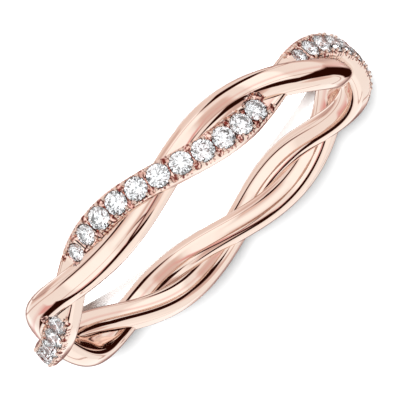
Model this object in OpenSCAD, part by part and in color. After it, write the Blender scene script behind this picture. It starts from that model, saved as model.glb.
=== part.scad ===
// Twisted eternity ring: a paved strand and a plain strand wind round each other
// in one closed band, and the paved one carries a row of round stones wherever it
// comes to the outside. The ring lies on its side. Its axis is Z, its middle is
// over the origin, and the middle of the first row of stones faces -Y.

/* [Ring] */
// Clear diameter for the finger, inside the innermost strands
finger_d = 16.5; // [15.5:0.1:21]
// How often the paved strand comes to the outside in one turn
twists = 4; // [4:1:5]
// Sections in one turn of a strand
turn_steps = 72; // [56:16:72]

/* [Strands] */
// How far each strand swings in and out of its mean radius
depth_swing = 0.24; // [0.15:0.01:0.3]
// Thickness of both strands from their centre line in towards the finger
strand_in = 0.51; // [0.45:0.01:0.6]
// Roundness of both strands on the finger side, 1 is an ellipse and less is squarer
strand_in_round = 0.68; // [0.5:0.01:1]
// Points round one section of a strand
section_points = 12; // [12:4:16]
// Width of the paved strand along the finger
paved_w = 1.32; // [1.2:0.01:1.4]
// How far the paved strand swings to either side
paved_swing = 0.66; // [0.6:0.01:0.7]
// Thickness of the paved strand from its centre line out to its face
paved_out = 0.58; // [0.5:0.01:0.65]
// Roundness of the paved strand's outer half
paved_out_round = 0.42; // [0.3:0.01:0.7]
// Width of the plain strand along the finger
plain_w = 1.44; // [1.3:0.01:1.5]
// How far the plain strand swings to either side
plain_swing = 0.58; // [0.52:0.01:0.65]
// Thickness of the plain strand from its centre line out to its crown
plain_out = 0.61; // [0.5:0.01:0.7]
// Roundness of the plain strand's outer half
plain_out_round = 0.85; // [0.6:0.01:1]

/* [Stones] */
// Round stones in each row
row_stones = 11; // [9:2:11]
// Distance between the middles of neighbouring stones
stone_pitch = 1.095; // [1.09:0.005:1.12]
// Diameter of a stone
stone_d = 1.04; // [1:0.01:1.05]
// Diameter of the second stone of a row, where the strand begins to narrow
second_d = 0.92; // [0.85:0.01:1]
// Diameter of the first stone of a row
first_d = 0.8; // [0.75:0.01:0.9]
// Depth of a stone's widest edge below the paved strand's face
girdle_sink = 0.04; // [0.02:0.01:0.06]
// Clearance between a stone and its seat
seat_gap = 0.02; // [0.015:0.005:0.03]

/* [Setting] */
// Radius of the scallop cut across the strand under each stone
scallop_r = 0.3; // [0.25:0.01:0.36]
// Radius of a bead, the prong tip that two stones share
bead_r = 0.13; // [0.11:0.01:0.14]
// Height of a bead above the strand's face
bead_h = 0.17; // [0.12:0.01:0.18]
// Distance of a bead from the middle of the strand
bead_offset = 0.45; // [0.42:0.01:0.48]

/* [Hidden] */
rose_gold = [0.91, 0.69, 0.60];
stone_white = [0.92, 0.95, 0.98];
mean_r = finger_d / 2 + strand_in + depth_swing;
half_h = max(paved_swing + paved_w / 2, plain_swing + plain_w / 2);
row_r = mean_r + depth_swing + paved_out;
pitch_angle = stone_pitch / row_r * 180 / PI;
mid_stone = (row_stones + 1) / 2;
table_share = 0.57;
crown_share = 0.15;
girdle_share = 0.03;
pavilion_share = 0.4;
stone_sides = 8;
bead_sides = 5;
scallop_sides = 6;
bead_root = 0.12;
open_h = 1;

// The name of stone n of a row
function stone_name(row, n) = str("stone_", row, "_", n);

// Phase of the twist at a turn angle: 0 where the paved strand is outermost
function phase(turn) = twists * turn;

// Radius and height of the paved strand's centre line
function paved_r(turn) = mean_r + depth_swing * cos(phase(turn));
function paved_z(turn) = half_h - paved_swing * sin(phase(turn));

// Radius and height of the plain strand's centre line
function plain_r(turn) = mean_r - depth_swing * cos(phase(turn));
function plain_z(turn) = half_h + plain_swing * sin(phase(turn));

// A number raised to a power with its sign kept
function signed_power(value, power) = sign(value) * pow(abs(value), power);

// Rounded section as pairs of [outward, sideways], with its own outer and inner half
function section(width, outward, outward_round) = [
    for (k = [0 : section_points - 1])
        let (
            a = 360 * k / section_points,
            outer = cos(a) > 0,
            reach = outer ? outward : strand_in,
            round = outer ? outward_round : strand_in_round
        )
        [reach * signed_power(cos(a), round), width / 2 * signed_power(sin(a), round)]
];

// A point of the ring from its turn angle, radius and height
function ring_point(turn, r, z) = [r * sin(turn), -r * cos(turn), z];

// Closed tube whose rings of points follow each other round the finger
module closed_sweep(points, rings, sides) {
    faces = [
        for (i = [0 : rings - 1], j = [0 : sides - 1])
            let (next_i = (i + 1) % rings, next_j = (j + 1) % sides)
            [
                i * sides + j,
                i * sides + next_j,
                next_i * sides + next_j,
                next_i * sides + j
            ]
    ];
    polyhedron(points, faces, convexity = 10);
}

// Its sections stand half a step from the plain strand's, so that no edges coincide
module paved_strand() {
    profile = section(paved_w, paved_out, paved_out_round);
    points = [
        for (i = [0 : turn_steps - 1], p = profile)
            let (turn = 360 * (i + 0.5) / turn_steps)
            ring_point(turn, paved_r(turn) + p[0], paved_z(turn) + p[1])
    ];
    closed_sweep(points, turn_steps, section_points);
}

module plain_strand() {
    profile = section(plain_w, plain_out, plain_out_round);
    points = [
        for (i = [0 : turn_steps - 1], p = profile)
            let (turn = 360 * i / turn_steps)
            ring_point(turn, plain_r(turn) + p[0], plain_z(turn) + p[1])
    ];
    closed_sweep(points, turn_steps, section_points);
}

// Places its children on the paved strand's face at a turn angle, with Z outwards
// and X along the strand
module on_face(turn) {
    r = paved_r(turn) + paved_out;
    lead = atan(-twists * paved_swing * cos(phase(turn)) / r);
    climb = atan(-twists * depth_swing * sin(phase(turn)) / r);
    rotate([0, 0, turn])
        translate([0, -r, paved_z(turn)])
            rotate([90, 0, 0])
                rotate([0, -climb, 0])
                    rotate([0, 0, lead])
                        children();
}

// Turn angle of a place in a row, in stone pitches from the row's first stone
function place_turn(row, n) = 360 / twists * (row - 1) + (mid_stone - n) * pitch_angle;

// Diameter of stone n: the first two of a row are smaller
function diameter(n) = n == 1 ? first_d : n == 2 ? second_d : stone_d;

// Solid with a flat top and a point at its foot, through many-sided rings that
// are given from the top down as [radius, height]
module faceted(rings, point_z) {
    step = 360 / stone_sides;
    levels = len(rings);
    points = concat(
        [
            for (ring = rings, k = [0 : stone_sides - 1])
                [ring[0] * cos(k * step), ring[0] * sin(k * step), ring[1]]
        ],
        [[0, 0, point_z]]
    );
    top = [[for (k = [stone_sides - 1 : -1 : 0]) k]];
    sides = [
        for (level = [0 : levels - 2], k = [0 : stone_sides - 1])
            let (next_k = (k + 1) % stone_sides, a = level * stone_sides)
            [a + k, a + next_k, a + stone_sides + next_k, a + stone_sides + k]
    ];
    foot = [
        for (k = [0 : stone_sides - 1])
            let (a = (levels - 1) * stone_sides)
            [a + k, a + (k + 1) % stone_sides, levels * stone_sides]
    ];
    polyhedron(points, concat(top, sides, foot));
}

// Round stone with its widest edge at Z = 0, its table up and its point down
module cut_stone(d) {
    half_girdle = d * girdle_share / 2;
    faceted(
        [
            [d / 2 * table_share, half_girdle + d * crown_share],
            [d / 2, half_girdle],
            [d / 2, -half_girdle]
        ],
        -half_girdle - d * pavilion_share
    );
}

// The room that a stone needs, its clearance included
module stone_room(n) {
    translate([0, 0, -girdle_sink])
        cut_stone(diameter(n) + 2 * seat_gap);
}

// The cut that seats a stone: a cone for its point, open outwards from its edge
module seat(n) {
    d = diameter(n) + 2 * seat_gap;
    half_girdle = d * girdle_share / 2;
    translate([0, 0, -girdle_sink])
        faceted(
            [[d / 2, open_h], [d / 2, -half_girdle]],
            -half_girdle - d * pavilion_share
        );
}

// Round cut across the strand that shows a stone from both sides
module scallop() {
    rotate([90, 0, 0])
        cylinder(h = 2 * paved_w, r = scallop_r, center = true, $fn = scallop_sides);
}

// Two prong tips, one on each edge of the strand
module bead_pair() {
    for (side = [-1, 1])
        translate([0, side * bead_offset, 0])
            hull() {
                translate([0, 0, -bead_root])
                    cylinder(h = bead_root, r = bead_r, $fn = bead_sides);
                cylinder(h = bead_h, r = bead_r / 2, $fn = bead_sides);
            }
}

// The paved strand with a scallop cut under each stone
module scalloped_strand() {
    difference() {
        paved_strand();
        for (row = [1 : twists], n = [1 : row_stones])
            on_face(place_turn(row, n))
                scallop();
    }
}

// Both strands as one piece of metal, with the seats cut
module cut_strands() {
    difference() {
        union() {
            scalloped_strand();
            plain_strand();
        }
        for (row = [1 : twists], n = [1 : row_stones])
            on_face(place_turn(row, n))
                seat(n);
    }
}

// The prong tips of every row, clear of the stones
module beads() {
    difference() {
        for (row = [1 : twists], n = [0 : row_stones])
            on_face(place_turn(row, n + 0.5))
                bead_pair();
        for (row = [1 : twists], n = [1 : row_stones])
            on_face(place_turn(row, n))
                stone_room(n);
    }
}

module ring_band() {
    color(rose_gold) {
        cut_strands();
        beads();
    }
}

module stone(row, n) {
    color(stone_white)
        on_face(place_turn(row, n))
            translate([0, 0, -girdle_sink])
                cut_stone(diameter(n));
}

ring_band();
for (row = [1 : twists], n = [1 : row_stones])
    stone(row, n);
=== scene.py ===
"""Dresses the twisted eternity ring: two polished rose gold strands, the seats, notches, pockets,
grooves and beads that set the stones, and the round brilliants, on a pale floor in soft studio light.
"""

import logging
import math
from collections.abc import Callable, Iterator
from contextlib import contextmanager
from dataclasses import dataclass, field
from enum import Enum

import bmesh
import bpy
from mathutils import Matrix, Vector


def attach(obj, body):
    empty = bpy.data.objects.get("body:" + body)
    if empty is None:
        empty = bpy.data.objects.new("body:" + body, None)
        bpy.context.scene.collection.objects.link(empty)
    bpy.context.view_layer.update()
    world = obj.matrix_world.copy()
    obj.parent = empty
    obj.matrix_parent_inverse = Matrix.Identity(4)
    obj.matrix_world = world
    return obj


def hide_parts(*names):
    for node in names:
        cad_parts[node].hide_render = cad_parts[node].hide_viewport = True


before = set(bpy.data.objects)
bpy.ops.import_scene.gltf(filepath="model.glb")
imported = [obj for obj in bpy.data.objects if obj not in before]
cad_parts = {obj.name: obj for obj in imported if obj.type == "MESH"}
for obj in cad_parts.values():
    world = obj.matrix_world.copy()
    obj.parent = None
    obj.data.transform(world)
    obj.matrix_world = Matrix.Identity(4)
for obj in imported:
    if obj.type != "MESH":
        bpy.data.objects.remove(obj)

MM = 0.001
BODY = "root"

# Vertices closer than this become one, in millimetres
FINE_MERGE = 1e-5
COARSE_MERGE = 1e-4

# In degrees
FULL_TURN = 360.0
HALF_TURN = 180.0
QUARTER_TURN = 90.0

log = logging.getLogger("eternity_ring")


class Slot(Enum):
    """The record's material slots."""

    METAL = "rose_gold"
    STONE = "clear_stone"


class Axis(Enum):
    """The axes that pieces are turned about."""

    X = "X"
    Z = "Z"


class LampKind(Enum):
    """The kinds of lamp in the studio."""

    SUN = "SUN"
    SPOT = "SPOT"


# Modelling by hand


class Bench:
    """The few moves that every piece is modelled with. A piece is made in millimetres."""

    @staticmethod
    def take(*pieces: bpy.types.Object) -> None:
        """Selects some pieces alone, the first of them active.

        Args:
            *pieces: The pieces.
        """
        bpy.ops.object.select_all(action="DESELECT")
        for piece in pieces:
            piece.select_set(True)
        bpy.context.view_layer.objects.active = pieces[0]

    @staticmethod
    def added(name: str) -> bpy.types.Object:
        """Names the primitive that was just added.

        Args:
            name: The piece's name.

        Returns:
            The new piece.
        """
        piece = bpy.context.object
        piece.name = name
        piece.data.name = name
        return piece

    @staticmethod
    @contextmanager
    def editing(piece: bpy.types.Object) -> Iterator[None]:
        """Opens a piece in edit mode with everything selected, and closes it again.

        Args:
            piece: The piece.

        Yields:
            Nothing.
        """
        Bench.take(piece)
        bpy.ops.object.mode_set(mode="EDIT")
        bpy.ops.mesh.select_all(action="SELECT")
        yield
        bpy.ops.object.mode_set(mode="OBJECT")

    @staticmethod
    def pick(piece: bpy.types.Object, wanted: Callable[[Vector], bool]) -> None:
        """Selects the vertices whose place is wanted, in edit mode.

        Args:
            piece: The piece that is open in edit mode.
            wanted: Says whether a place is wanted.
        """
        mesh = bmesh.from_edit_mesh(piece.data)
        for vert in mesh.verts:
            vert.select_set(wanted(vert.co))
        mesh.select_flush_mode()
        bmesh.update_edit_mesh(piece.data)

    @staticmethod
    def turn(angle: float, axis: Axis) -> None:
        """Turns what is selected about an axis through the origin, by the right-hand rule.

        Args:
            angle: The angle in radians.
            axis: The axis.
        """
        bpy.ops.transform.rotate(value=-angle, orient_axis=axis.value, center_override=(0, 0, 0))

    @staticmethod
    def stretch(x: float, y: float, z: float) -> None:
        """Scales what is selected from the origin, in edit mode."""
        bpy.ops.transform.resize(value=(x, y, z), center_override=(0, 0, 0))

    @staticmethod
    def close_up(distance: float = FINE_MERGE) -> None:
        """Merges doubled vertices and turns all faces outwards, in edit mode.

        Args:
            distance: How close doubled vertices are.
        """
        bpy.ops.mesh.select_all(action="SELECT")
        bpy.ops.mesh.remove_doubles(threshold=distance)
        bpy.ops.mesh.normals_make_consistent(inside=False)

    @staticmethod
    def copied(piece: bpy.types.Object, name: str, place: Matrix) -> bpy.types.Object:
        """Copies a piece with its own mesh and puts the copy at a place.

        Args:
            piece: The piece to copy.
            name: The copy's name.
            place: Where the copy goes.

        Returns:
            The copy, whose place is in its mesh.
        """
        copy = piece.copy()
        copy.data = piece.data.copy()
        copy.name = name
        copy.data.name = name
        bpy.context.scene.collection.objects.link(copy)
        copy.matrix_world = place
        Bench.take(copy)
        bpy.ops.object.transform_apply(location=True, rotation=True, scale=True)
        return copy

    @staticmethod
    def joined(pieces: list[bpy.types.Object], name: str) -> bpy.types.Object:
        """Joins pieces into the first of them.

        Args:
            pieces: The pieces.
            name: The whole's name.

        Returns:
            The whole.
        """
        Bench.take(*pieces)
        bpy.ops.object.join()
        return Bench.added(name)

    @staticmethod
    def dress(piece: bpy.types.Object, materials: list[bpy.types.Material], worn: int = 0) -> None:
        """Gives a piece its materials, and all its faces one of them.

        Args:
            piece: The piece.
            materials: The materials, in the order of the piece's slots.
            worn: The slot that its faces wear.
        """
        for material in materials:
            piece.data.materials.append(material)
        for polygon in piece.data.polygons:
            polygon.material_index = worn

    @staticmethod
    def cut(piece: bpy.types.Object, tool: bpy.types.Object) -> None:
        """Cuts a tool's shape out of a piece, whose cut faces wear the tool's material.

        Args:
            piece: The piece.
            tool: The tool.
        """
        modifier = piece.modifiers.new("cut", "BOOLEAN")
        modifier.operation = "DIFFERENCE"
        modifier.solver = "MANIFOLD"
        modifier.object = tool
        Bench.take(piece)
        bpy.ops.object.modifier_apply(modifier=modifier.name)

    @staticmethod
    def scrapped(*pieces: bpy.types.Object) -> None:
        """Removes pieces that were only tools."""
        for piece in pieces:
            bpy.data.objects.remove(piece)


# Shader maths

Colour = tuple[float, ...]


class Sock:
    """A node's output socket, with the operators that shader maths is written with."""

    def __init__(self, shader: "Shader", link: bpy.types.NodeSocket) -> None:
        """Wraps a socket of a shader."""
        self.shader = shader
        self.link = link

    def _math(self, operation: str, *values: "Sock | float") -> "Sock":
        """Adds a Math node."""
        links = {index: value for index, value in enumerate(values)}
        return self.shader.node("ShaderNodeMath", {"operation": operation}, links)

    def __add__(self, other: "Sock | float") -> "Sock":
        """Returns the sum."""
        return self._math("ADD", self, other)

    __radd__ = __add__

    def __sub__(self, other: "Sock | float") -> "Sock":
        """Returns the difference."""
        return self._math("SUBTRACT", self, other)

    def __rsub__(self, other: float) -> "Sock":
        """Returns a number less this."""
        return self._math("SUBTRACT", other, self)

    def __mul__(self, other: "Sock | float") -> "Sock":
        """Returns the product."""
        return self._math("MULTIPLY", self, other)

    __rmul__ = __mul__

    def __truediv__(self, other: "Sock | float") -> "Sock":
        """Returns the quotient."""
        return self._math("DIVIDE", self, other)

    def arcsine(self) -> "Sock":
        """Returns the angle whose sine this is."""
        return self._math("ARCSINE", self)

    def arctan2(self, other: "Sock | float") -> "Sock":
        """Returns the angle of a point with this height over that distance."""
        return self._math("ARCTAN2", self, other)

    def absolute(self) -> "Sock":
        """Returns the size without the sign."""
        return self._math("ABSOLUTE", self)

    def clamped(self) -> "Sock":
        """Returns this, held between 0 and 1."""
        return self.shader.node("ShaderNodeClamp", {}, {0: self})

    def softened(self, blur: float) -> "Sock":
        """Returns 1 inside an edge and 0 outside, blurred, where this is how far inside it is."""
        return (self / blur + 0.5).clamped()


class Shader:
    """The node tree of a material or a world, with one method that adds any node."""

    def __init__(self, tree: bpy.types.NodeTree) -> None:
        """Takes a node tree over and empties it."""
        self.tree = tree
        tree.nodes.clear()

    def node(
        self,
        kind: str,
        settings: dict | None = None,
        sockets: dict | None = None,
        out: int | str = 0,
    ) -> Sock:
        """Adds a node.

        Args:
            kind: The node's type.
            settings: Its settings, set first. "stops" are a colour ramp's (position, colour) pairs.
            sockets: Values or links for its input sockets, by name or index.
            out: The output that is returned.

        Returns:
            The node's output socket.
        """
        made = self.tree.nodes.new(kind)
        for name, value in (settings or {}).items():
            if name == "stops":
                self._set_stops(made.color_ramp, value)
            else:
                setattr(made, name, value)
        for key, value in (sockets or {}).items():
            if isinstance(value, Sock):
                self.tree.links.new(value.link, made.inputs[key])
            else:
                made.inputs[key].default_value = value
        return Sock(self, made.outputs[out] if made.outputs else None)

    def noise(self, place: Sock, scale: float, detail: float = 2.0) -> Sock:
        """Adds soft noise.

        Args:
            place: The coordinates that it is laid out on.
            scale: How fine it is.
            detail: How many finer layers lie over it.

        Returns:
            Its value, from 0 to 1.
        """
        sockets = {"Vector": place, "Scale": scale, "Detail": detail}
        return self.node("ShaderNodeTexNoise", {}, sockets)

    def mixed(self, share: Sock, base: Sock | Colour, top: Sock | Colour) -> Sock:
        """Mixes two colours.

        Args:
            share: The share of the second colour.
            base: The first colour.
            top: The second colour.

        Returns:
            The mixed colour.
        """
        sockets = {"Factor": share, 6: base, 7: top}
        return self.node("ShaderNodeMix", {"data_type": "RGBA"}, sockets, out=2)

    def ramp(self, stops: list[tuple[float, Colour]], place: Sock) -> Sock:
        """Returns the colour of a ramp with these stops at a place from 0 to 1."""
        return self.node("ShaderNodeValToRGB", {"stops": stops}, {0: place})

    def surface(self, sockets: dict) -> None:
        """Makes a Principled shader with these sockets the material's surface."""
        shaded = self.node("ShaderNodeBsdfPrincipled", {}, sockets)
        self.node("ShaderNodeOutputMaterial", {}, {"Surface": shaded})

    @staticmethod
    def _set_stops(ramp: bpy.types.ColorRamp, stops: list[tuple[float, Colour]]) -> None:
        """Gives a colour ramp its stops.

        Args:
            ramp: The ramp.
            stops: The position and the colour of each stop.
        """
        while len(ramp.elements) > 1:
            ramp.elements.remove(ramp.elements[0])
        ramp.elements[0].position, ramp.elements[0].color = stops[0]
        for position, colour in stops[1:]:
            ramp.elements.new(position).color = colour


def grey(value: float) -> Colour:
    """Returns a grey as a colour."""
    return (value, value, value, 1.0)


def new_material(name: str) -> tuple[bpy.types.Material, Shader, Sock]:
    """Adds a material.

    Args:
        name: The material's name.

    Returns:
        The material, its shader, and the Object coordinates of what wears it.
    """
    made = bpy.data.materials.new(name)
    made.use_nodes = True
    shader = Shader(made.node_tree)
    return made, shader, shader.node("ShaderNodeTexCoord", out="Object")


@dataclass(frozen=True)
class RoseGold:
    """Polished rose gold, with faint marks of the polishing wheel."""

    colour: Colour = (0.86, 0.695, 0.61, 1.0)
    deep_colour: Colour = (0.84, 0.66, 0.57, 1.0)
    roughness_low: float = 0.025
    roughness_high: float = 0.06
    cloud_scale: float = 900.0
    cloud_detail: float = 3.0
    wheel_scale: float = 9000.0
    wheel_strength: float = 0.02
    wheel_depth: float = 1e-6

    def material(self) -> bpy.types.Material:
        """Makes the metal's material.

        Returns:
            The material.
        """
        made, shader, place = new_material("rose_gold")
        cloud = shader.noise(place, self.cloud_scale, self.cloud_detail)
        marks = {
            "Height": shader.noise(place, self.wheel_scale),
            "Strength": self.wheel_strength,
            "Distance": self.wheel_depth,
        }
        shader.surface(
            {
                "Base Color": shader.mixed(cloud, self.deep_colour, self.colour),
                "Metallic": 1.0,
                "Roughness": cloud * (self.roughness_high - self.roughness_low) + self.roughness_low,
                "Normal": shader.node("ShaderNodeBump", {}, marks),
            }
        )
        return made


@dataclass(frozen=True)
class CutGoldWithPaintedShade:
    """Rose gold as the setter's cutter leaves it, grainy and less polished, with painted shade: a
    near-black red, mixed in by random grain, darkens the cut recesses.
    """

    colour: Colour = (1.0, 0.73, 0.64, 1.0)
    # Painted shade: a near-black red that darkens the seats, notches, pockets and grooves.
    deep_colour: Colour = (0.2, 0.035, 0.025, 1.0)
    roughness_low: float = 0.1
    roughness_high: float = 0.2
    grain_scale: float = 7500.0
    grain_middle: float = 0.5
    grain_contrast: float = 6.5
    bright_share: float = 0.56

    def material(self) -> bpy.types.Material:
        """Makes the cuts' material.

        Returns:
            The material.
        """
        made, shader, place = new_material("cut_rose_gold_painted_shade")
        grain_and_shade = shader.noise(place, self.grain_scale)
        # Random grain sets where the painted shade colour or the bright metal shows.
        grain_and_shade = ((grain_and_shade - self.grain_middle) * self.grain_contrast + self.bright_share).clamped()
        shader.surface(
            {
                "Base Color": shader.mixed(grain_and_shade, self.deep_colour, self.colour),
                "Metallic": 1.0,
                "Roughness": grain_and_shade * (self.roughness_high - self.roughness_low) + self.roughness_low,
            }
        )
        return made


@dataclass(frozen=True)
class ClearStone:
    """A colourless stone whose facets bend and return the light."""

    colour: Colour = (1.0, 1.0, 1.0, 1.0)
    tint: Colour = (0.93, 0.96, 1.0, 1.0)
    index: float = 2.42
    cloud_scale: float = 2500.0

    def material(self) -> bpy.types.Material:
        """Makes the stone's material.

        Returns:
            The material.
        """
        made, shader, place = new_material("clear_stone")
        cloud = shader.noise(place, self.cloud_scale)
        shader.surface(
            {
                "Base Color": shader.mixed(cloud, self.tint, self.colour),
                "Roughness": 0.0,
                "IOR": self.index,
                "Transmission Weight": 1.0,
            }
        )
        return made


@dataclass(frozen=True)
class PaleFloor:
    """A plain matt floor, almost white."""

    low: float = 0.88
    high: float = 0.9
    roughness: float = 0.9
    cloud_scale: float = 60.0

    def material(self) -> bpy.types.Material:
        """Makes the floor's material.

        Returns:
            The material.
        """
        made, shader, place = new_material("pale_floor")
        cloud = shader.noise(place, self.cloud_scale)
        colour = shader.mixed(cloud, grey(self.low), grey(self.high))
        shader.surface({"Base Color": colour, "Roughness": self.roughness})
        return made


# The twist


@dataclass(frozen=True)
class Twist:
    """How the two strands wind round each other, in millimetres and turn angles from -Y."""

    twists: int = 4
    mean_radius: float = 9.0
    depth_swing: float = 0.24
    half_height: float = 1.32

    def phase(self, turn: float) -> float:
        """Returns the phase of the twist, 0 where the paved strand is outermost."""
        return self.twists * turn

    def out(self, turn: float) -> Vector:
        """Returns the direction away from the finger at a turn angle."""
        return Vector((math.sin(turn), -math.cos(turn), 0.0))


@dataclass
class Strand:
    """One strand of the twist, with a rounded section that has its own outer and inner half.

    Its sense is 1 or -1, for a strand that is outermost or innermost at phase 0. A roundness of 1
    makes a half an ellipse, and less makes it squarer.
    """

    name: str
    twist: Twist
    sense: int
    width: float
    swing: float
    outward: float
    outward_round: float
    inward: float = 0.51
    inward_round: float = 0.68
    corner_points: int = 16
    near_corner: float = 0.99
    steps: int = 90

    def radius(self, turn: float) -> float:
        """Returns the centre line's distance from the finger's axis at a turn angle."""
        swing = self.sense * self.twist.depth_swing
        return self.twist.mean_radius + swing * math.cos(self.twist.phase(turn))

    def height(self, turn: float) -> float:
        """Returns the centre line's height at a turn angle."""
        return self.twist.half_height - self.sense * self.swing * math.sin(self.twist.phase(turn))

    def build(self) -> bpy.types.Object:
        """Sweeps the section round one twist and repeats it round the ring.

        Returns:
            The closed strand.
        """
        strand = self._section()
        period = 2 * math.pi / self.twist.twists
        step = period / self.steps
        with Bench.editing(strand):
            self._stand_up(-period / 2)
            for count in range(self.steps):
                self._extrude(-period / 2 + count * step, step)
            bpy.ops.mesh.select_all(action="SELECT")
            bpy.ops.mesh.spin(
                steps=self.twist.twists,
                dupli=True,
                angle=2 * math.pi,
                center=(0, 0, 0),
                axis=(0, 0, 1),
            )
            Bench.close_up(COARSE_MERGE)
        return strand

    def _section(self) -> bpy.types.Object:
        """Makes the section, flat on XY with X outwards, from a square with rounded corners.

        Returns:
            The section, a closed ring of edges.
        """
        bpy.ops.mesh.primitive_plane_add(size=2)
        section = Bench.added(self.name)
        with Bench.editing(section):
            for side, roundness in ((1, self.outward_round), (-1, self.inward_round)):
                Bench.pick(section, lambda co, side=side: min(co.x * side, abs(co.y)) > self.near_corner)
                bpy.ops.mesh.bevel(
                    affect="VERTICES",
                    offset=1.0,
                    segments=self.corner_points,
                    profile=2**-roundness,
                    clamp_overlap=False,
                )
            Bench.close_up()
            bpy.ops.mesh.delete(type="ONLY_FACE")
            for side, reach in ((1, self.outward), (-1, self.inward)):
                Bench.pick(section, lambda co, side=side: co.x * side > 0)
                Bench.stretch(reach, 1, 1)
            bpy.ops.mesh.select_all(action="SELECT")
            Bench.stretch(1, self.width / 2, 1)
        return section

    def _stand_up(self, turn: float) -> None:
        """Stands the section up, its X outwards and its width along the finger.

        Args:
            turn: The turn angle where it stands.
        """
        Bench.turn(math.pi / 2, Axis.X)
        Bench.turn(turn - math.pi / 2, Axis.Z)
        place = self.twist.out(turn) * self.radius(turn)
        place.z = self.height(turn)
        bpy.ops.transform.translate(value=place)

    def _extrude(self, turn: float, step: float) -> None:
        """Extrudes the selected ring of edges by one step.

        Args:
            turn: The turn angle where it is.
            step: How far it goes.
        """
        after = turn + step
        move = self.twist.out(after) * (self.radius(after) - self.radius(turn))
        move.z = self.height(after) - self.height(turn)
        bpy.ops.mesh.extrude_region()
        Bench.turn(step, Axis.Z)
        bpy.ops.transform.translate(value=move)


# The stones


@dataclass(frozen=True)
class Brilliant:
    """A round brilliant cut in proportions of its radius, with its widest edge round Z = 0."""

    table: float = 0.57
    crown_slope: float = math.radians(34.5)
    star_reach: float = 0.5
    girdle: float = 0.06
    pavilion_slope: float = math.radians(40.75)
    lower_reach: float = 0.77
    folds: int = 8
    girdle_sides: int = 64

    @property
    def half_fold(self) -> float:
        """The angle between a main facet and the edge beside it."""
        return math.pi / self.folds

    @property
    def crown_height(self) -> float:
        """The table's height above the girdle's upper edge."""
        return (1 - self.table) * math.tan(self.crown_slope)

    @property
    def pavilion_depth(self) -> float:
        """The point's depth below the girdle's lower edge."""
        return math.tan(self.pavilion_slope)

    def build(self) -> bpy.types.Object:
        """Cuts every facet off a round blank of radius 1.

        Returns:
            The stone, of radius 1.
        """
        blank_height = 2 * self.pavilion_depth + 1
        bpy.ops.mesh.primitive_cylinder_add(
            vertices=self.girdle_sides,
            radius=1,
            depth=blank_height,
            rotation=(0, 0, math.pi / self.girdle_sides),
        )
        stone = Bench.added("brilliant")
        bpy.ops.object.transform_apply(location=False, rotation=True, scale=False)
        with Bench.editing(stone):
            self._facet(Vector((0, 0, self.girdle / 2 + self.crown_height)), Vector((0, 0, 1)))
            for fold in range(self.folds):
                turn = Matrix.Rotation(2 * self.half_fold * fold, 3, "Z")
                for points in self._facets():
                    a, b, c = (turn @ point for point in points)
                    self._facet(a, (b - a).cross(c - a))
            Bench.close_up(COARSE_MERGE)
        return stone

    def _facets(self) -> list[tuple[Vector, Vector, Vector]]:
        """Lays out the facets of one fold: main, star and girdle facets.

        Returns:
            Three points of each facet.
        """
        top, foot = self.girdle / 2, -self.girdle / 2
        table_z = top + self.crown_height
        side = self.half_fold
        edge_mid = self.table * math.cos(side)
        tip = edge_mid + self.star_reach * (1 - edge_mid)
        tip_z = table_z - (tip * math.cos(side) - self.table) * math.tan(self.crown_slope)
        low = 1 - self.lower_reach
        low_z = foot - self.pavilion_depth * (1 - low * math.cos(side))
        ahead = Vector((0, 1, 0))
        star_tip = self._at(tip, side, tip_z)
        point = Vector((0, 0, foot - self.pavilion_depth))
        facets = [
            (self._at(1, 0, top), self._at(1, 0, top) + ahead, self._at(self.table, 0, table_z)),
            (self._at(self.table, 0, table_z), star_tip, self._at(self.table, 2 * side, table_z)),
            (point, self._at(1, 0, foot) + ahead, self._at(1, 0, foot)),
        ]
        for sign in (1, -1):
            star = self._at(tip, sign * side, tip_z)
            girdle = (self._at(1, 0, top), self._at(1, sign * side, top))
            lower = (self._at(1, 0, foot), self._at(1, sign * side, foot))
            deep = self._at(low, sign * side, low_z)
            facets.append((star, *girdle) if sign > 0 else (star, *girdle[::-1]))
            facets.append((deep, *lower[::-1]) if sign > 0 else (deep, *lower))
        return facets

    @staticmethod
    def _at(radius: float, angle: float, z: float) -> Vector:
        """Returns a point from its radius, angle and height."""
        return Vector((radius * math.cos(angle), radius * math.sin(angle), z))

    @staticmethod
    def _facet(point: Vector, normal: Vector) -> None:
        """Cuts away what lies beyond a plane and closes the cut.

        Args:
            point: A point of the plane.
            normal: The direction in which all is cut away.
        """
        bpy.ops.mesh.select_all(action="SELECT")
        bpy.ops.mesh.bisect(
            plane_co=point, plane_no=normal, use_fill=True, clear_outer=True, threshold=FINE_MERGE
        )


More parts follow.
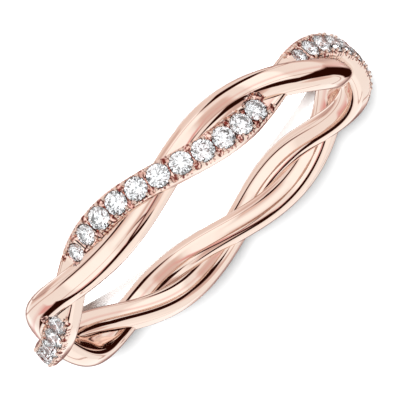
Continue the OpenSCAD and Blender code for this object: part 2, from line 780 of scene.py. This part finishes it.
@dataclass
class StoneRows:
    """The rows of stones on the paved strand, and the place of each stone and of each gap."""

    strand: Strand
    stones: int = 11
    pitch: float = 1.095
    diameter: float = 1.04
    second_diameter: float = 0.92
    first_diameter: float = 0.8
    sink: float = 0.04

    @property
    def rows(self) -> int:
        """The number of rows, one for each twist."""
        return self.strand.twist.twists

    def size(self, number: int) -> float:
        """Returns the diameter of a stone: the first two of a row are smaller."""
        return {1: self.first_diameter, 2: self.second_diameter}.get(number, self.diameter)

    def turn(self, row: int, number: float) -> float:
        """Gives the turn angle of a place in a row.

        Args:
            row: The row, from 1.
            number: The stone, from 1, or a half between two stones.

        Returns:
            The turn angle.
        """
        twist = self.strand.twist
        face_radius = twist.mean_radius + twist.depth_swing + self.strand.outward
        middle = (self.stones + 1) / 2
        return 2 * math.pi / twist.twists * (row - 1) + (middle - number) * self.pitch / face_radius

    def place(self, row: int, number: float, scale: float = 1.0, sink: float = 0.0) -> Matrix:
        """Returns the place of a stone or a gap, with Z outwards and X along the strand.

        Args:
            row: The row, from 1.
            number: The stone, from 1, or a half between two stones.
            scale: The size of what goes there.
            sink: Its depth below the strand's face.

        Returns:
            The place as a matrix.
        """
        turn = self.turn(row, number)
        twist, strand = self.strand.twist, self.strand
        phase = twist.phase(turn)
        radius = strand.radius(turn) + strand.outward
        lead = math.atan(-twist.twists * strand.swing * math.cos(phase) / radius)
        climb = math.atan(-twist.twists * twist.depth_swing * math.sin(phase) / radius)
        return (
            Matrix.Rotation(turn, 4, "Z")
            @ Matrix.Translation((0, -radius, strand.height(turn)))
            @ Matrix.Rotation(math.pi / 2, 4, "X")
            @ Matrix.Rotation(-climb, 4, "Y")
            @ Matrix.Rotation(lead, 4, "Z")
            @ Matrix.Translation((0, 0, -sink))
            @ Matrix.Scale(scale, 4)
        )

    def build(self, cut: Brilliant) -> list[tuple[str, bpy.types.Object]]:
        """Cuts one stone and sets a copy of it at each place.

        Args:
            cut: The stones' cut.

        Returns:
            The replaced node's name and the stone, for each stone.
        """
        blank = cut.build()
        set_stones = []
        for row in range(1, self.rows + 1):
            for number in range(1, self.stones + 1):
                place = self.place(row, number, self.size(number) / 2, self.sink)
                stone = Bench.copied(blank, f"brilliant_{row}_{number}", place)
                set_stones.append((f"stone_{row}_{number}", stone))
        Bench.scrapped(blank)
        return set_stones


# The setting


@dataclass(frozen=True)
class FlankCut:
    """A tapered cut that runs from the face down a flank, the same on both sides of the strand.

    Its middle starts and stops at a distance from the strand's middle and a height over its face.
    """

    name: str
    sides: int
    start: tuple[float, float]
    start_radius: float
    stop: tuple[float, float]
    stop_radius: float
    along: tuple[float, ...] = (0.0,)

    def build(self) -> bpy.types.Object:
        """Makes the tool that makes the cut in both flanks at one place.

        Returns:
            The tool.
        """
        across, down = self.stop[0] - self.start[0], self.stop[1] - self.start[1]
        bpy.ops.mesh.primitive_cone_add(
            vertices=self.sides,
            radius1=self.stop_radius,
            radius2=self.start_radius,
            depth=math.hypot(across, down),
        )
        cut = Bench.added(self.name)
        middle = (0, (self.start[0] + self.stop[0]) / 2, (self.start[1] + self.stop[1]) / 2)
        with Bench.editing(cut):
            Bench.turn(math.pi / 2 + math.atan2(down, across), Axis.X)
            bpy.ops.transform.translate(value=middle)
        cuts = [
            Bench.copied(cut, self.name, Matrix.Rotation(turn, 4, "Z") @ Matrix.Translation((along, 0, 0)))
            for turn in (0.0, math.pi)
            for along in self.along
        ]
        Bench.scrapped(cut)
        return Bench.joined(cuts, self.name)


@dataclass
class Setting:
    """What is cut into the paved strand and raised on it to hold the stones, in millimetres."""

    rows: StoneRows
    seat_clearance: float = 0.012
    seat_slope: float = math.radians(42.0)
    seat_wall: float = 0.02
    seat_open: float = 0.6
    rim_below: float = 0.02
    rim_rise: float = 0.12
    rim_width: float = 0.17
    rim_tooth: float = 0.06
    rim_points: int = 32
    notch: FlankCut = FlankCut(
        "notch_tool",
        sides=6,
        start=(0.57, 0.02),
        start_radius=0.065,
        stop=(0.71, -0.28),
        stop_radius=0.05,
        along=(-0.2, 0.0, 0.2),
    )
    pocket: FlankCut = FlankCut(
        "pocket_tool",
        sides=8,
        start=(0.36, 0.11),
        start_radius=0.3,
        stop=(0.82, -0.12),
        stop_radius=0.05,
    )
    groove_size: tuple[float, float, float] = (0.07, 0.8, 0.5)
    bead_radius: float = 0.085
    bead_rounds: int = 3
    bead_stretch: float = 1.2
    bead_side: float = 0.47
    bead_apart: float = 0.215
    bead_rise: float = 0.005

    def seats(self) -> bpy.types.Object:
        """Makes the tool that cuts a seat for every stone, with a toothed bright-cut rim.

        Returns:
            The tool.
        """
        radius = self.rows.diameter / 2 + self.seat_clearance
        bpy.ops.mesh.primitive_cylinder_add(
            vertices=self.rim_points,
            radius=radius,
            depth=self.seat_wall,
            location=(0, 0, -self.seat_wall / 2),
        )
        seat = Bench.added("seat_tool")
        bpy.ops.object.transform_apply(location=True, rotation=False, scale=False)
        with Bench.editing(seat):
            bpy.ops.transform.translate(value=(0, 0, -self.rim_below))
            self._open_rim(seat, radius)
            Bench.pick(seat, lambda co: co.z < -self.rim_below - self.seat_wall / 2)
            bpy.ops.mesh.extrude_region()
            bpy.ops.transform.translate(value=(0, 0, -radius * math.tan(self.seat_slope)))
            bpy.ops.mesh.merge(type="CENTER")
            Bench.close_up()
        return self._everywhere(
            seat,
            range(1, self.rows.stones + 1),
            lambda row, number: self.rows.place(row, number, self._seat_scale(number), self.rows.sink),
        )

    def _open_rim(self, seat: bpy.types.Object, radius: float) -> None:
        """Opens the seat outwards in a toothed rim and carries it clear of the strand, in edit mode.

        Args:
            seat: The seat's tool, open in edit mode.
            radius: Its radius so far.
        """
        on_top = self.rim_rise / 2 - self.rim_below
        Bench.pick(seat, lambda co: co.z > -self.rim_below - self.seat_wall / 2)
        bpy.ops.mesh.extrude_region()
        grow = (radius + self.rim_width) / radius
        Bench.stretch(grow, grow, 1)
        bpy.ops.transform.translate(value=(0, 0, self.rim_rise))
        step = 2 * math.pi / self.rim_points
        Bench.pick(seat, lambda co: co.z > on_top and round(math.atan2(co.y, co.x) / step) % 2 == 0)
        shrink = (radius + self.rim_width - self.rim_tooth) / (radius + self.rim_width)
        Bench.stretch(shrink, shrink, 1)
        Bench.pick(seat, lambda co: co.z > on_top)
        bpy.ops.mesh.extrude_region()
        bpy.ops.transform.translate(value=(0, 0, self.seat_open))

    def _seat_scale(self, number: int) -> float:
        """Returns the size of a stone's seat, in sizes of the largest."""
        return self.rows.size(number) / self.rows.diameter

    def notches(self) -> bpy.types.Object:
        """Returns the tool that cuts small notches into both edges beside every stone."""
        return self._everywhere(self.notch.build(), range(1, self.rows.stones + 1), self.rows.place)

    def pockets(self) -> bpy.types.Object:
        """Returns the tool that cuts a pointed pocket into both edges beside every gap."""
        return self._everywhere(self.pocket.build(), range(self.rows.stones + 1), self._gap)

    def grooves(self) -> bpy.types.Object:
        """Makes the tool that cuts a narrow groove between neighbouring stones.

        Returns:
            The tool.
        """
        bpy.ops.mesh.primitive_cube_add(size=1)
        groove = Bench.added("groove_tool")
        with Bench.editing(groove):
            Bench.stretch(*self.groove_size)
        return self._everywhere(groove, range(1, self.rows.stones), self._gap)

    def _gap(self, row: int, number: int) -> Matrix:
        """Returns the place of the gap after a stone."""
        return self.rows.place(row, number + 0.5)

    def _everywhere(
        self, tool: bpy.types.Object, numbers: range, place: Callable[[int, int], Matrix]
    ) -> bpy.types.Object:
        """Repeats a tool along every row.

        Args:
            tool: The tool for one stone.
            numbers: The stones that it is repeated for.
            place: Gives the place for a row and a stone.

        Returns:
            The whole tool.
        """
        copies = [
            Bench.copied(tool, tool.name, place(row, number))
            for row in range(1, self.rows.rows + 1)
            for number in numbers
        ]
        name = tool.name
        Bench.scrapped(tool)
        return Bench.joined(copies, name)

    def beads(self, row: int) -> bpy.types.Object:
        """Raises the beads of one row, a pair on each edge wherever two stones meet.

        Args:
            row: The row, from 1.

        Returns:
            The row's beads.
        """
        bpy.ops.mesh.primitive_ico_sphere_add(subdivisions=self.bead_rounds, radius=self.bead_radius)
        bead = Bench.added("bead")
        with Bench.editing(bead):
            Bench.stretch(1, 1, self.bead_stretch)
        grains = [
            Bench.copied(bead, "bead", self._gap(row, number) @ self._bead_place(side, along))
            for number in range(self.rows.stones + 1)
            for side in (-1, 1)
            for along in (-1, 1)
        ]
        Bench.scrapped(bead)
        return Bench.joined(grains, f"beads_row_{row}")

    def _bead_place(self, side: int, along: int) -> Matrix:
        """Returns the place of one bead beside a gap."""
        return Matrix.Translation((along * self.bead_apart, side * self.bead_side, self.bead_rise))


@dataclass
class RingBand:
    """The metal of the ring: both strands, cut for the stones, and the beads."""

    twist: Twist = field(default_factory=Twist)
    smooth_angle: float = math.radians(35.0)

    def __post_init__(self) -> None:
        """Lays out the strands and the rows."""
        self.paved = Strand(
            "paved_strand", self.twist, sense=1, width=1.32, swing=0.66, outward=0.58, outward_round=0.3
        )
        self.plain = Strand(
            "plain_strand", self.twist, sense=-1, width=1.44, swing=0.58, outward=0.61, outward_round=0.68
        )
        self.rows = StoneRows(self.paved)
        self.setting = Setting(self.rows)

    def build(self) -> list[bpy.types.Object]:
        """Makes both strands, cuts them and raises the beads.

        Returns:
            The metal pieces.
        """
        finishes = [RoseGold().material(), CutGoldWithPaintedShade().material()]
        paved, plain = self.paved.build(), self.plain.build()
        setting = self.setting
        seats, tools = setting.seats(), [setting.notches(), setting.pockets(), setting.grooves()]
        for piece in (paved, plain):
            Bench.dress(piece, finishes)
        # The cut faces of seats, notches, pockets and grooves wear the cut gold, whose near-black colour
        # is painted shade.
        for tool in (*tools, seats):
            Bench.dress(tool, finishes, 1)
            Bench.cut(paved, tool)
        Bench.cut(plain, seats)
        Bench.scrapped(*tools, seats)
        beads = [setting.beads(row) for row in range(1, self.rows.rows + 1)]
        for piece in beads:
            Bench.dress(piece, finishes[:1])
        pieces = [paved, plain, *beads]
        for piece in pieces:
            Bench.take(piece)
            bpy.ops.object.shade_smooth_by_angle(angle=self.smooth_angle)
        return pieces


# The ring


@dataclass
class Ring:
    """The whole ring: its metal and its stones, dressed and fixed to the frame."""

    band: RingBand = field(default_factory=RingBand)
    cut: Brilliant = field(default_factory=Brilliant)
    stone: ClearStone = field(default_factory=ClearStone)

    def build(self) -> None:
        """Builds and dresses every piece, hides the CAD node that it replaces and fixes it to the body."""
        for piece in self.band.build():
            self._declare(piece, "ring_band")
        clear = self.stone.material()
        for node, piece in self.band.rows.build(self.cut):
            Bench.dress(piece, [clear])
            self._declare(piece, node)

    def _declare(self, piece: bpy.types.Object, node: str) -> None:
        """Brings a piece to metres, hides the CAD node that it replaces and fixes the piece to the ring's
        body.

        Args:
            piece: The piece, in millimetres.
            node: The node that it replaces.
        """
        piece.scale = (MM, MM, MM)
        Bench.take(piece)
        bpy.ops.object.transform_apply(location=False, rotation=False, scale=True)
        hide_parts(node)
        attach(piece, BODY)
        log.info("%s: %d faces", piece.name, len(piece.data.polygons))


# The studio


@dataclass
class PhotoCamera:
    """The camera at the photograph's angle, in millimetres, radians and pixels of its frame."""

    height_angle: float = math.radians(12.529)
    side_angle: float = math.radians(2.169)
    roll: float = math.radians(-136.21)
    distance: float = 196.0
    pixels_per_mm: float = 22.133
    centre_x: float = 198.296
    centre_y: float = 205.249
    frame_pixels: float = 400.0
    sensor: float = 36.0
    near_clip: float = 1.0

    def build(self, look_at: Vector) -> None:
        """Adds the camera.

        Args:
            look_at: The ring's middle, in millimetres.
        """
        e, a = self.height_angle, self.side_angle
        back = Vector((-math.cos(e) * math.sin(a), -math.cos(e) * math.cos(a), math.sin(e)))
        right = Vector((math.cos(a), -math.sin(a), 0))
        up = Vector((math.sin(e) * math.sin(a), math.sin(e) * math.cos(a), math.cos(e)))
        c, s = math.cos(self.roll), math.sin(self.roll)
        pose = Matrix((c * right - s * up, s * right + c * up, back)).transposed().to_4x4()
        pose.translation = (look_at + back * self.distance) * MM
        bpy.ops.object.camera_add()
        camera = bpy.context.object
        camera.name = "photo_camera"
        camera.matrix_world = pose
        camera.data.sensor_width = self.sensor
        camera.data.lens = self.pixels_per_mm * self.distance / self.frame_pixels * self.sensor
        camera.data.shift_x = (self.frame_pixels / 2 - self.centre_x) / self.frame_pixels
        camera.data.shift_y = (self.centre_y - self.frame_pixels / 2) / self.frame_pixels
        camera.data.clip_start = self.near_clip * MM
        bpy.context.scene.camera = camera


@dataclass(frozen=True)
class Lamp:
    """A lamp that lights the floor alone, so that the metal shows the studio and not the lamp.

    Its azimuth runs from -Y towards +X. The angles are in radians and the distance in metres.
    """

    name: str
    kind: LampKind
    power: float
    azimuth: float
    elevation: float
    distance: float = 1.0
    settings: tuple[tuple[str, float], ...] = ()

    def build(self) -> None:
        """Adds the lamp, aimed at the ring."""
        flat = math.cos(self.elevation)
        away = Vector(
            (flat * math.sin(self.azimuth), -flat * math.cos(self.azimuth), math.sin(self.elevation))
        )
        bpy.ops.object.light_add(type=self.kind.value, location=away * self.distance)
        lamp = bpy.context.object
        lamp.name = self.name
        lamp.rotation_euler = away.to_track_quat("Z", "Y").to_euler()
        lamp.data.energy = self.power
        for name, value in self.settings:
            setattr(lamp.data, name, value)
        lamp.visible_glossy = False
        lamp.visible_transmission = False


@dataclass(frozen=True)
class Card:
    """A card in the room, with its middle and half its size in degrees, and how light it is."""

    name: str
    azimuth: float
    half_width: float
    elevation: float
    half_height: float
    level: float
    blur: float = 8.0

    def laid_over(self, level: Sock, round_about: Sock, height: Sock) -> Sock:
        """Lays the card over the room.

        Args:
            level: How light the room is without it.
            round_about: The direction, from 0 to 1 round the ring.
            height: The direction's elevation in degrees.

        Returns:
            How light the room is with it.
        """
        beside = (round_about * FULL_TURN - (HALF_TURN + self.azimuth)).absolute()
        above = (height - self.elevation).absolute()
        shown = (self.half_width - beside).softened(self.blur)
        shown = shown * (self.half_height - above).softened(self.blur)
        return level + shown * (self.level - level)


Line = tuple[tuple[float, float, float], ...]


@dataclass
class Studio:
    """A pale floor, lamps for it, and a bright room with cards and dark lines that the metal shows.

    A line of the room is given by azimuths, with its middle's elevation and half its height at
    each, in degrees. The heights and the tones are the stops of ramps: how light the room is at an
    elevation, and the colour that the metal is shown for a lightness. The stones are shown a white
    room with fine dark flags.
    """

    floor_size: float = 2.0
    strength: float = 1.34
    backdrop: float = 0.68
    stone_strength: float = 1.54
    stone_light: tuple[float, float] = (0.985, 0.995)
    flag_scale: float = 23.0
    flag_detail: float = 1.0
    flag_start: float = 0.45
    flag_contrast: float = 9.0
    flag_depth: float = 0.88
    lamps: tuple[Lamp, ...] = (
        Lamp(
            "front_lamp",
            LampKind.SUN,
            power=18.0,
            azimuth=0.0,
            elevation=math.radians(10.5),
            settings=(("angle", math.radians(5)),),
        ),
        Lamp(
            "fill_lamp",
            LampKind.SUN,
            power=1.2,
            azimuth=0.0,
            elevation=math.radians(90),
            settings=(("angle", math.radians(90)),),
        ),
        Lamp(
            "ring_lamp",
            LampKind.SPOT,
            power=0.34,
            azimuth=0.0,
            elevation=math.radians(90),
            distance=0.06,
            settings=(("spot_size", math.radians(19)), ("spot_blend", 0.08), ("shadow_soft_size", 0.006)),
        ),
    )
    long_line: Line = (
        (-169, 4, 0), (-164, 5, 12), (-148, 4, 14), (-130, 3, 15), (-112, 13, 18), (-90, 28, 16),
        (-70, 18, 14), (-56, 9, 7), (-50, 10, 9), (-44, 11, 12), (-38, 11, 12), (-31, 16, 9),
        (-25, 19, 4), (-19, 20, 0), (-10, 60, 0), (0, 57, 8), (12, 51, 12), (32, 38, 13),
        (50, 38, 11), (70, 40, 8), (88, 33, 11), (99, 17, 24), (110, 6, 12), (130, 1, 8),
        (145, 0, 0),
    )
    low_right_line: Line = (
        (-112, -40, 0), (-95, -41, 4), (-75, -40, 8), (-55, -42, 11), (-38, -39, 5), (-25, -36, 0),
    )
    low_left_line: Line = ((8, -34, 0), (22, -35, 6), (45, -32, 4), (75, -26, 3), (95, -20, 0))
    rising_line: Line = (
        (-24, -3, 0), (-17, 0, 2.5), (-7, 8, 3.5), (4, 17, 3.5), (14, 22, 4.5), (24, 27, 6),
        (34, 36, 0),
    )
    falling_line: Line = ((5, 24, 0), (9, 15, 2.5), (13, 7, 2.5), (18, 1, 1.5), (24, -1, 0))
    rose_line: Line = (
        (-26, -12, 0), (-17, -7, 3), (4, 10, 4), (22, 25, 4), (45, 28, 4), (70, 27, 5),
        (88, 20, 5), (99, 4, 6), (112, -8, 5), (130, -12, 0),
    )
    rose: Colour = (0.63, 0.34, 0.33, 1.0)
    edge_blur: float = 3.0
    line_reach: float = 45.0
    heights: tuple[tuple[float, float], ...] = (
        (-90, 0.7),
        (-58, 0.72),
        (-38, 0.77),
        (-12, 0.78),
        (10, 0.79),
        (60, 0.8),
        (75, 0.86),
    )
    cards: tuple[Card, ...] = (
        Card("left_window", 58, 22, 2, 22, 0.97, 6),
        Card("right_window", -73, 15, -14, 18, 0.99, 5),
        Card("left_sheet", 132, 46, 46, 26, 0.9),
        Card("back_sheet", 168, 22, -12, 40, 0.93),
        Card("front_sheet", -30, 9, 46, 18, 0.88),
        Card("front_strip", -9, 8, -8, 22, 0.93, 6),
        Card("front_shade", 8, 15, 26, 12, 0.56),
        Card("front_high_shade", -4, 10, 48, 10, 0.66, 6),
        Card("left_low_band", 16, 20, -30, 9, 0.67, 6),
        Card("left_strip", 18, 19, -12.5, 3, 0.95, 4),
        Card("left_band", 14, 11, -3, 3.5, 0.6, 4),
        Card("low_shade", 18, 26, -62, 12, 0.58, 6),
        Card("low_window", -12, 14, -31, 12, 0.97, 5),
        Card("low_line", -47, 16, -37, 5, 0.45, 6),
        Card("right_shade", -50, 12, 38, 22, 0.55),
        Card("right_back_shade", -122, 14, 42, 14, 0.6),
        Card("near_shade", -33, 11, -9, 9, 0.61, 6),
        Card("left_low_shade", 122, 18, -42, 12, 0.5),
        Card("back_low_shade", -148, 16, -34, 20, 0.5),
        Card("backdrop_edge", 180, 22, -12, 23, 0.26, 12),
        Card("backdrop_other_edge", -180, 22, -12, 23, 0.26, 12),
    )
    tones: tuple[tuple[float, tuple[float, float, float]], ...] = (
        (0.0, (0.018, 0.003, 0.001)),
        (0.04, (0.05, 0.01, 0.006)),
        (0.1, (0.115, 0.045, 0.034)),
        (0.21, (0.21, 0.122, 0.11)),
        (0.32, (0.32, 0.218, 0.2)),
        (0.5, (0.5, 0.375, 0.35)),
        (0.67, (0.67, 0.545, 0.505)),
        (0.74, (0.74, 0.7, 0.685)),
        (0.81, (0.81, 0.825, 0.815)),
        (1.0, (1.0, 1.0, 1.0)),
    )

    def build(self) -> None:
        """Lays the floor and lights the scene."""
        bpy.ops.mesh.primitive_plane_add(size=self.floor_size)
        floor = Bench.added("floor")
        floor.data.materials.append(PaleFloor().material())
        floor.visible_glossy = False
        for lamp in self.lamps:
            lamp.build()
        self._room()
        bpy.context.scene.view_settings.view_transform = "Standard"

    @property
    def dark_lines(self) -> tuple[Line, ...]:
        """The dark lines of the room."""
        return (
            self.long_line,
            self.low_right_line,
            self.low_left_line,
            self.rising_line,
            self.falling_line,
        )

    def _room(self) -> None:
        """Makes the room that the metal and the stones show."""
        world = bpy.data.worlds.new("studio_room")
        world.use_nodes = True
        world.cycles_visibility.diffuse = False
        bpy.context.scene.world = world
        shader = Shader(world.node_tree)
        direction = shader.node("ShaderNodeTexCoord", out="Generated")
        in_stone = shader.node("ShaderNodeLightPath", out="Is Transmission Ray")
        on_camera = shader.node("ShaderNodeLightPath", out="Is Camera Ray")
        on_metal = self._for_metal(shader, direction)
        light = shader.mixed(in_stone, on_metal, self._for_stones(shader, direction))
        light = shader.mixed(on_camera, light, grey(self.backdrop))
        strength = in_stone * (self.stone_strength - self.strength) + self.strength
        background = shader.node("ShaderNodeBackground", {}, {"Color": light, "Strength": strength})
        shader.node("ShaderNodeOutputWorld", {}, {"Surface": background})

    def _for_metal(self, shader: Shader, direction: Sock) -> Sock:
        """Returns the room's colour as the metal shows it.

        Args:
            shader: The world's shader.
            direction: The direction that is looked in.

        Returns:
            The colour in that direction.
        """
        x, y, z = (shader.node("ShaderNodeSeparateXYZ", {}, {0: direction}, out=axis) for axis in "XYZ")
        height = z.arcsine() * (HALF_TURN / math.pi)
        round_about = x.arctan2(y * -1.0) / (2 * math.pi) + 0.5
        height_stops = [((e + QUARTER_TURN) / HALF_TURN, grey(level)) for e, level in self.heights]
        level = shader.ramp(height_stops, height / HALF_TURN + 0.5)
        for card in self.cards:
            level = card.laid_over(level, round_about, height)
        clear = 1.0
        for line in self.dark_lines:
            clear = clear * (1.0 - self._on_line(shader, line, round_about, height))
        rosy = self._on_line(shader, self.rose_line, round_about, height) * clear
        tone_stops = [(lightness, (*colour, 1.0)) for lightness, colour in self.tones]
        return shader.mixed(rosy, shader.ramp(tone_stops, level * clear), self.rose)

    def _for_stones(self, shader: Shader, direction: Sock) -> Sock:
        """Returns the room's colour as it is seen through a stone.

        Args:
            shader: The world's shader.
            direction: The direction that is looked in.

        Returns:
            The colour in that direction.
        """
        flag = shader.noise(direction, self.flag_scale, self.flag_detail)
        bare = 1.0 - ((flag - self.flag_start) * self.flag_contrast).clamped() * self.flag_depth
        red, green = self.stone_light
        return shader.node("ShaderNodeCombineColor", {}, {0: bare * red, 1: bare * green, 2: bare})

    def _on_line(self, shader: Shader, line: Line, round_about: Sock, height: Sock) -> Sock:
        """Returns how far a direction lies on a line of the room.

        Args:
            shader: The world's shader.
            line: The line.
            round_about: The direction, from 0 to 1 round the ring.
            height: The direction's elevation in degrees.

        Returns:
            The share, 1 on the line.
        """
        stops = [
            (
                (azimuth + HALF_TURN) / FULL_TURN,
                ((elevation + QUARTER_TURN) / HALF_TURN, half / self.line_reach, 0.0, 1.0),
            )
            for azimuth, elevation, half in line
        ]
        at = shader.ramp(stops, round_about)
        middle, half = (shader.node("ShaderNodeSeparateColor", {}, {0: at}, out=out) for out in (0, 1))
        off = (height - (middle * HALF_TURN - QUARTER_TURN)).absolute()
        return (half * self.line_reach - off).softened(self.edge_blur)


def main() -> None:
    """Builds the camera, the ring and the studio."""
    logging.basicConfig(level=logging.INFO, format="%(name)s: %(message)s")
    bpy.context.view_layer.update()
    ring = Ring()
    PhotoCamera().build(Vector((0, 0, ring.band.twist.half_height)))
    ring.build()
    Studio().build()


if __name__ == "__main__":
    main()
